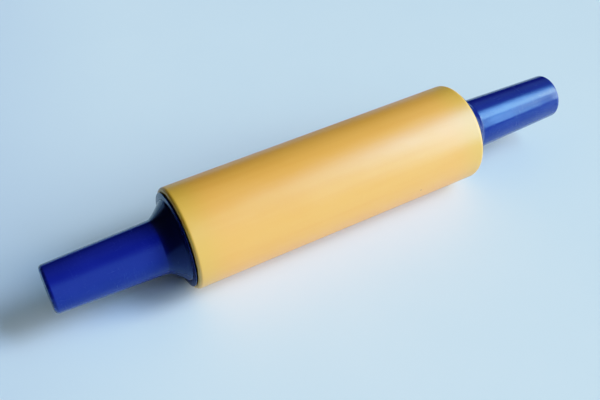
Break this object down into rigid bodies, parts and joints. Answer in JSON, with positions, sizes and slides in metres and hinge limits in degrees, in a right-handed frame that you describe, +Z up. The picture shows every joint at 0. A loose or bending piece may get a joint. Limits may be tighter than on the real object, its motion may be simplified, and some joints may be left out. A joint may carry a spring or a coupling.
{
  "type": "dough roller",
  "caption": "Small plastic dough roller: a smooth sleeve that spins freely on a spindle between flared, tapered handles.",
  "frame": {"origin": "on the surface that the sleeve rests on, under the middle of the sleeve", "axes": "+X along the roller from the left handle to the right handle, +Z up, +Y away from the viewer"},
  "size_m": [0.2294, 0.041, 0.041],
  "materials": {
    "sleeve_plastic": "satin amber-yellow moulded plastic",
    "handle_plastic": "glossy ultramarine moulded plastic",
    "hub_plastic": "natural white moulded plastic",
    "bearing_plastic": "natural acetal, turned",
    "spindle_steel": "drawn bright steel",
    "fastener_steel": "zinc-plated steel"
  },
  "bodies": {
    "core": {"spindle": "spindle_steel", "left_handle": "handle_plastic", "right_handle": "handle_plastic", "left_end_cap": "handle_plastic", "right_end_cap": "handle_plastic", "left_thrust_washer": "bearing_plastic", "right_thrust_washer": "bearing_plastic", "left_screw": "fastener_steel", "right_screw": "fastener_steel", "left_screw_washer": "fastener_steel", "right_screw_washer": "fastener_steel"},
    "sleeve": {"roller_sleeve": "sleeve_plastic", "left_sleeve_hub": "hub_plastic", "right_sleeve_hub": "hub_plastic", "left_bush": "bearing_plastic", "right_bush": "bearing_plastic"}
  },
  "joints": [
    {"name": "sleeve_spin", "type": "hinge", "parent": "core", "child": "sleeve", "pos_m": [0, 0, 0.0205], "axis": [1, 0, 0], "continuous": true}
  ]
}
